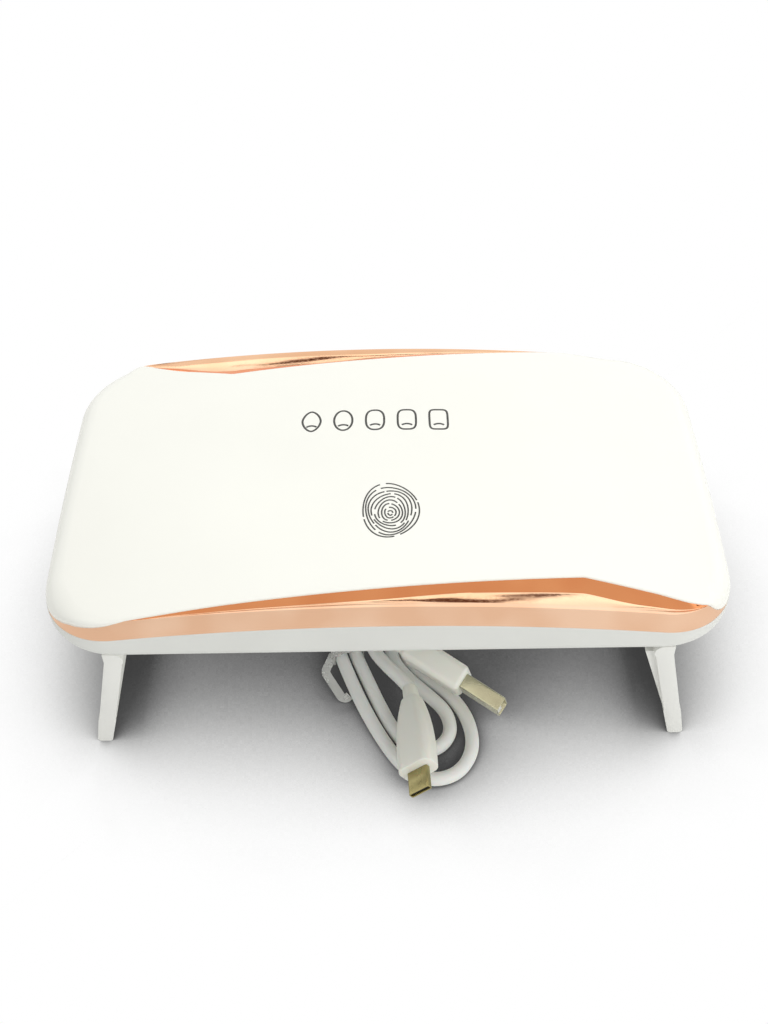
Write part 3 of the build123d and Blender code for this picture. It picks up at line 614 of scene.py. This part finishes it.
def trim_sections(turned):
    """Rows of points across one trim, taken in its own half turn. From the panel edge, depth d inside
    the outline, a wall drops to a crease; a shelf runs on to a lip and to the ridge, 1.9 mm inside the
    outline or d if that is less; and a facet falls to the split line. All taper to nothing with d."""
    ring, way = plan * turned, plan_out * turned
    trimmed = (ring[:, 1] < END_BAND_Y) & (inset > 0)
    trimmed |= (ring[:, 1] < END_BAND_Y) & (np.roll(trimmed, 1) | np.roll(trimmed, -1))
    order = np.flatnonzero(trimmed)[np.argsort(ring[trimmed][:, 0])]
    foot_line, foot_out, depth_in = ring[order], way[order], inset[order][:, None]
    level = np.array([0.0, 0.0, 1.0])
    out3 = np.column_stack([foot_out, np.zeros(len(order))])
    ridge_in = np.minimum(depth_in, RIDGE_INSET)
    share = ridge_in / RIDGE_INSET
    foot_z = arch(SPLIT_MID, SPLIT_END, foot_line[:, 0])
    foot = np.column_stack([foot_line, foot_z]) + out3 * FOOT_PROUD * share
    ridge_line = foot_line - foot_out * ridge_in
    ridge_z = foot_z + (arch(RIDGE_MID, RIDGE_END, ridge_line[:, 0]) - foot_z) * share[:, 0]
    ridge = np.column_stack([ridge_line, ridge_z])
    edge_line = foot_line - foot_out * depth_in
    shelf_depth = np.clip(depth_in - RIDGE_INSET, 0, None)
    rise = crown(*edge_line.T) - EDGE_STEP - ridge_z
    edge = np.column_stack([edge_line, ridge_z + rise * ease(shelf_depth / SHELF_EASE)[:, 0]])
    lip_in = np.minimum(LIP_WIDTH, LIP_SHARE * shelf_depth)
    lip = ridge - out3 * lip_in - level * LIP_SLOPE * lip_in
    crease_reach = np.interp(foot_line[:, 0], CREASE_X, CREASE_Y) - ridge_line[:, 1]
    crease_share = crease_reach / np.maximum(shelf_depth[:, 0], LEAST_SHELF)
    crease_share = np.pad(np.clip(crease_share, CREASE_LEAST, CREASE_MOST), SOFT_REACH, mode="edge")
    crease_share = np.convolve(crease_share, np.ones(SOFT_COUNT) / SOFT_COUNT, mode="valid")
    crease_in = shelf_depth * crease_share[:, None]
    crease = ridge - out3 * crease_in - level * (LIP_SLOPE * lip_in + SHELF_SLOPE * crease_in)
    tuck = edge - out3 * TUCK_IN * share - level * TUCK_DOWN * share
    heel = foot - out3 * HEEL_IN * share
    section = [tuck, *lay_between(edge, crease, (0.0, 0.04, 0.3, 0.65, 0.95), WALL_SAG)]
    section += lay_between(crease, lip, (0.0, 0.08, 0.35, 0.65, 0.94), SHELF_SAG)
    section += lay_between(lip, ridge, (0.0, 0.2, 0.6, 0.9), LIP_SAG)
    section += [*lay_between(ridge, foot, (0.0, 0.04, 0.25, 0.5, 0.75, 0.96, 1.0), FACET_SAG), heel]
    return np.array(section).transpose(1, 0, 2) * np.array([turned, turned, 1])


rose = rose_gold("rose gold metallised ABS", "#EDBF9E", "#F5CDAF")
# Painted reflection: a darker copy of the rose gold for the trims' upper wall.
rose_painted_reflection = rose_gold("rose gold metallised ABS, upper wall", "#D68C5F", "#DC9668")

# The columns of a trim's grid from its tuck to just above the crease make up the wall. They take the darker
# copy of the rose gold, a painted reflection.
WALL_COLUMNS = (0, 1, 2, 3, 4, 5)
for name, turned, node in (("front_trim_strip", 1, "front_trim"), ("rear_trim_strip", -1, "rear_trim")):
    grid_mesh(name, trim_sections(turned), second=WALL_COLUMNS)
    finished(name, rose, "housing", node, slot="rose_gold_plating").data.materials.append(rose_painted_reflection)

# ---- Housing screws ---------------------------------------------------------------------------
# Four zinc-plated pan-head screws, turned steel with a cross recess, sunk in the base from below.
# The smaller screws of both boards are plated alike.

zinc_steel = metal("zinc-plated steel", "#B4B7BC", 0.34, wear_mm=0.6, shade=0.2)
for node in ("housing_screws", "led_board_screws", "control_board_screws"):
    repaint(node, zinc_steel)

# ---- Lamp tray --------------------------------------------------------------------------------
# A vacuum-aluminised reflector around eighteen clear domed lenses, under a white-masked board whose
# phosphor emitters sit on ceramic bases.


def circuit_board(name, mask, track, pitch_mm):
    """A glass-epoxy board under glossy solder mask: copper tracks show through as a paler net of
    rectangles, 1.7 by 0.6 of the pitch. The glass weave makes the gloss uneven; it is drawn about
    1.4 mm wide, coarser than a real one, so that it shows."""
    made = empty_material(name)
    place = add_node(made, "TexCoord").outputs["Object"]
    net = add_node(made, "TexBrick", {"Vector": place, "Color1": linear(mask), "Color2": linear(mask),
                                      "Mortar": linear(track), "Mortar Size": 0.03,
                                      "Scale": 1.0 / (pitch_mm * MM), "Brick Width": 1.7, "Row Height": 0.6})
    weave = add_node(made, "TexNoise", {"Vector": place, "Scale": 700.0, "Detail": 2.0})
    bump = add_node(made, "Bump", {"Height": net.outputs["Fac"], "Strength": 0.3, "Distance": 0.00003})
    polish = add_node(made, "MapRange", {"Value": weave.outputs["Fac"], "To Min": 0.22, "To Max": 0.36})
    face = add_node(made, "BsdfPrincipled", {"Base Color": net.outputs["Color"],
                                             "Roughness": polish.outputs["Result"],
                                             "Normal": bump.outputs["Normal"]})
    add_node(made, "OutputMaterial", {"Surface": face.outputs[0]})
    return made


def clear_lens():
    """Moulded acrylic: clear and glossy, with a faint haze in patches of about 4 mm."""
    made = empty_material("clear moulded acrylic")
    place = add_node(made, "TexCoord").outputs["Object"]
    haze = add_node(made, "TexNoise", {"Vector": place, "Scale": 260.0})
    polish = add_node(made, "MapRange", {"Value": haze.outputs["Fac"], "To Min": 0.02, "To Max": 0.10})
    lens = add_node(made, "BsdfPrincipled", {"Base Color": linear("#F4F7FC"), "IOR": 1.49,
                                             "Transmission Weight": 1.0,
                                             "Roughness": polish.outputs["Result"]})
    add_node(made, "OutputMaterial", {"Surface": lens.outputs[0]})
    return made


repaint("reflector", metal("aluminised ABS", "#DDE0E4", 0.12, wear_mm=3.0, shade=0.05))
repaint("led_board", circuit_board("white solder mask", "#EDEDE6", "#F8F8F4", 4.0))
repaint("led_emitters", plastic("phosphor silicone", "#D8C456", 0.45, 0.3, 0.01, mottle=0.15))
repaint("led_lenses", clear_lens())

# ---- Control board ----------------------------------------------------------------------------
# A green-masked board hung from the cover, with a controller, a boost converter's ferrite drum and
# cans, three transistors, the charging socket and one header down to the lamp board.

nylon = plastic("black moulded nylon", "#17171A", 0.5, 0.7, 0.02, mottle=0.2)
repaint("control_board", circuit_board("green solder mask", "#0D4A28", "#1C6A3E", 3.0))
for node in ("board_header", "controller_chip", "power_transistors", "socket_tongue"):
    repaint(node, nylon)
repaint("boost_inductor", plastic("sintered ferrite", "#2B2B2D", 0.7, 0.4, 0.05, mottle=0.3))
repaint("filter_capacitors", metal("drawn aluminium can", "#C9CBCD", 0.28, (1.0, 1.0, 0.2), 0.7))
repaint("micro_usb_socket", metal("nickel-plated stamping", "#C2C2C0", 0.25, wear_mm=0.8))

# ---- Touch pad and its spring -----------------------------------------------------------------
# A copper foil disc glued under the cover, and the spring of nickel-plated wire that joins it to the
# board. It senses a finger through the cover's wall.

repaint("touch_pad", metal("rolled copper foil", "#C98558", 0.3, (0.3, 4.0, 1.0), 0.7, 0.2))
repaint("touch_spring", metal("nickel-plated spring wire", "#B9B4A4", 0.28, wear_mm=0.5))

# ---- Charging cable ---------------------------------------------------------------------------
# A white PVC-jacketed lead, loosely wound into two loops whose far ends lie under the lamp. It is
# one length of cord from the large plug, where its route starts, to the micro plug.

CABLE_D = 4.0
CABLE_ROUTE = [
    (6.0, -40.6, 8.0), (3.4, -36.6, 7.4), (-0.8, -31.0, 6.3), (-5.2, -23.2, 4.6),
    (-8.4, -10.0, 2.5), (-11.2, 5.0, 2.05), (-13.2, 20.0, 2.05), (-13.2, 34.0, 2.05),
    (-8.8, 44.8, 2.05), (0.6, 48.0, 2.05), (7.6, 41.0, 2.05), (8.2, 28.0, 2.05),
    (6.2, 12.0, 2.05), (3.0, -2.0, 2.05), (0.2, -14.0, 2.05),
    (0.8, -25.4, 2.05), (5.4, -32.6, 2.05), (11.6, -39.0, 2.05), (17.0, -45.2, 2.05),
    (18.2, -52.8, 2.05), (13.6, -58.6, 2.05), (6.4, -58.6, 2.05), (1.2, -51.8, 2.05),
    (-2.8, -43.0, 2.05), (-6.8, -32.6, 2.05), (-10.6, -22.6, 2.05),
    (-14.0, -8.0, 2.05), (-16.6, 7.0, 2.05), (-17.8, 22.0, 2.05), (-17.6, 36.0, 2.05),
    (-13.6, 48.6, 2.05), (-4.0, 54.8, 2.05), (7.0, 52.0, 2.05), (12.6, 41.0, 2.05),
    (12.2, 26.0, 2.05), (10.4, 11.0, 2.05), (7.4, -2.0, 2.05), (4.6, -13.5, 2.05),
    (4.7, -24.4, 2.05), (10.0, -31.6, 2.05), (18.0, -38.6, 2.05), (23.4, -48.0, 2.05),
    (24.4, -58.4, 2.05), (19.6, -66.6, 2.05), (11.2, -68.8, 2.05), (3.8, -64.2, 2.05),
    (-2.0, -55.2, 2.05), (-7.8, -43.2, 2.05), (-12.2, -31.6, 2.05),
    (-15.6, -21.6, 2.05), (-19.0, -7.0, 2.05), (-21.4, 7.0, 2.05), (-22.4, 20.0, 2.7),
    (-20.8, 32.0, 5.9), (-14.6, 42.6, 6.1), (-4.8, 43.4, 6.1), (0.4, 34.0, 6.1),
    (0.2, 20.0, 6.1), (-2.8, 6.0, 6.1), (-6.4, -6.0, 7.4), (-6.8, -15.6, 11.4), (-3.3, -22.6, 14.4),
]
cable_curve = bpy.data.curves.new("charging_cable", "CURVE")
cable_curve.dimensions = "3D"
cable_curve.bevel_depth = CABLE_D / 2 * MM
cable_curve.bevel_resolution = 6
cable_curve.resolution_u = 10
cable_curve.use_fill_caps = True
spline = cable_curve.splines.new("NURBS")
spline.points.add(len(CABLE_ROUTE) - 1)
for point, place in zip(spline.points, CABLE_ROUTE):
    point.co = (*(Vector(place) * MM), 1.0)
spline.order_u = 3
spline.use_endpoint_u = True
cable = bpy.data.objects.new("charging_cable", cable_curve)
scene.collection.objects.link(cable)
jacket = plastic("white PVC jacket", "#F1F2EE", 0.40, 1.6, 0.02, subsurface=0.15)
finished("charging_cable", jacket, "usb_cable", "cable_hank", "cable_inner_loop", "cable_outer_loop",
         "cable_micro_lead", "cable_usb_lead", slot="cable_jacket")

# ---- Plugs ------------------------------------------------------------------------------------
# White PVC moulded over each plug, glossier than the cord, and shells folded from nickel-plated
# steel. The small plug has an insulator inside; the large one a tongue with four gilt contacts.

moulded_pvc = plastic("moulded white PVC", "#EEEEE4", 0.30, 1.2, 0.01, mottle=0.02, subsurface=0.15)
OVERMOULDS = [("micro_usb_overmold", 1.0, 4), ("micro_usb_strain_relief", 0.3, 2),
              ("usb_a_overmold", 1.6, 5), ("usb_a_strain_relief", 0.3, 2)]
for node, radius, steps in OVERMOULDS:
    edge_rounded_copy(f"{node}_moulding", node, radius, steps)
    finished(f"{node}_moulding", moulded_pvc, "usb_cable", node, slot="plug_plastic")
brass_toned = metal("brass-toned nickel plate", "#A89E70", 0.28, (1.0, 0.3, 1.0), 1.6, 0.08)
warm_nickel = metal("warm nickel plate", "#BDBAA0", 0.24, (0.4, 1.0, 1.0), 1.8, 0.07)
for node, plate in (("micro_usb_shell", brass_toned), ("usb_a_shell", warm_nickel)):
    edge_rounded_copy(f"{node}_folded", node, 0.12, 2)
    finished(f"{node}_folded", plate, "usb_cable", node, slot="plug_steel")
repaint("micro_usb_core", nylon)
repaint("usb_a_tongue", plastic("white plug insulator", "#E6E6DE", 0.45, 0.8, 0.01))
repaint("usb_a_contacts", metal("gold-flashed contacts", "#DDB468", 0.22, wear_mm=0.5))

# ---- Twist tie --------------------------------------------------------------------------------
# A flat strip of clear soft PVC, ringed round two strands of the cord. Its free end is folded back
# on itself and lies beside them.


def clear_film():
    """Thin clear PVC: part of the light passes, and creases about 2 mm apart catch the rest."""
    made = empty_material("clear PVC film")
    place = add_node(made, "TexCoord").outputs["Object"]
    crease_lines = add_node(made, "TexNoise", {"Vector": place, "Scale": 420.0, "Detail": 3.0})
    bump = add_node(made, "Bump", {"Height": crease_lines.outputs["Fac"], "Strength": 0.5,
                                   "Distance": 0.0001})
    polish = add_node(made, "MapRange", {"Value": crease_lines.outputs["Fac"], "To Min": 0.12,
                                         "To Max": 0.38})
    film = add_node(made, "BsdfPrincipled", {"Base Color": linear("#EDEDEA"), "IOR": 1.53,
                                             "Transmission Weight": 0.55,
                                             "Roughness": polish.outputs["Result"],
                                             "Normal": bump.outputs["Normal"]})
    add_node(made, "OutputMaterial", {"Surface": film.outputs[0]})
    return made


repaint("cable_tie", clear_film())
